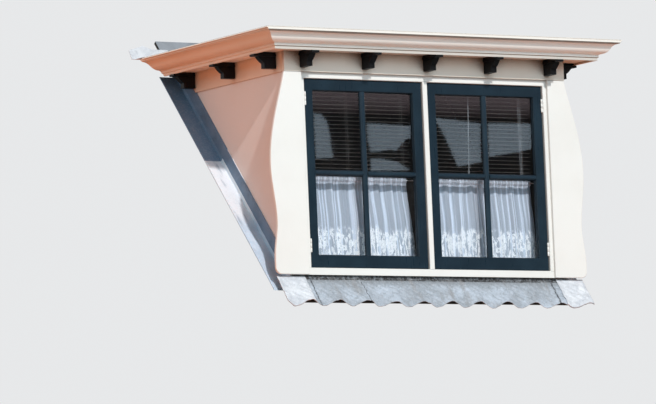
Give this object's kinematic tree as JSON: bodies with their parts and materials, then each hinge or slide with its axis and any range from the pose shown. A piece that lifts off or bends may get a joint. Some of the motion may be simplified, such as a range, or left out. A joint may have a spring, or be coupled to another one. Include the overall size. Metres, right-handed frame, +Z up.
{
  "type": "dormer window",
  "caption": "Flat-roofed dormer window with dark side-hung sashes, serpentine wing boards, bracketed moulded cornice and lead flashings, for a steep roof slope",
  "frame": {"origin": "on the underside of the dormer's deck, on the plane of the roof's battens, below the middle of the window frame's face", "axes": "+X to the viewer's right along the front, +Y level into the roof, +Z up"},
  "size_m": [2.641, 1.8311, 1.8358],
  "materials": {
    "frame_paint": "warm off-white gloss paint on wood",
    "cornice_paint": "cream gloss paint on wood, a little dusty",
    "cheek_paint": "pale paint on flat boarding with faint creases",
    "dark_sash_paint": "very dark blue-green gloss paint on wood",
    "black_paint": "near-black paint on wood",
    "window_glass": "clear flat glass",
    "zinc_flashing": "weathered blue-grey metal sheet",
    "lead": "weathered grey lead sheet with pale bloom",
    "new_lead": "pale lead sheet with white bloom",
    "roof_felt": "grey roof sheet with lapped joints",
    "bare_wood": "rough sawn softwood boards",
    "lace": "white gathered lace with a flower border",
    "blind_paint": "pale painted thin slats",
    "rod_paint": "white painted rod"
  },
  "bodies": {
    "root": {"apron_corner_left": "new_lead", "apron_corner_right": "new_lead", "blind_left": "blind_paint", "blind_right": "blind_paint", "bracket_front_1": "black_paint", "bracket_front_2": "black_paint", "bracket_front_3": "black_paint", "bracket_front_4": "black_paint", "bracket_front_5": "black_paint", "bracket_left_1": "black_paint", "bracket_left_2": "black_paint", "bracket_left_3": "black_paint", "bracket_right_1": "black_paint", "bracket_right_2": "black_paint", "bracket_right_3": "black_paint", "ceiling": "bare_wood", "cheek_left": "cheek_paint", "cheek_right": "cheek_paint", "cornice_front": "cornice_paint", "cornice_left": "cornice_paint", "cornice_right": "cornice_paint", "curtain_left": "lace", "curtain_right": "lace", "curtain_rod_left": "rod_paint", "curtain_rod_right": "rod_paint", "deck_panel": "bare_wood", "flashing_back": "lead", "flashing_left": "zinc_flashing", "flashing_right": "zinc_flashing", "frame_head": "frame_paint", "frame_jamb_left": "frame_paint", "frame_jamb_right": "frame_paint", "frame_mullion": "frame_paint", "frame_sill": "frame_paint", "frieze_front": "cornice_paint", "frieze_left": "cornice_paint", "frieze_right": "cornice_paint", "front_curb": "bare_wood", "glass_left": "window_glass", "glass_right": "window_glass", "head_beam": "bare_wood", "lead_apron": "lead", "roof_boards": "bare_wood", "roof_covering": "roof_felt", "roof_joists": "bare_wood", "saddle_left": "new_lead", "saddle_right": "new_lead", "sash_left": "dark_sash_paint", "sash_right": "dark_sash_paint", "soffit_front": "cornice_paint", "soffit_left": "cornice_paint", "soffit_right": "cornice_paint", "wing_board_left": "frame_paint", "wing_board_right": "frame_paint"}
  },
  "joints": []
}
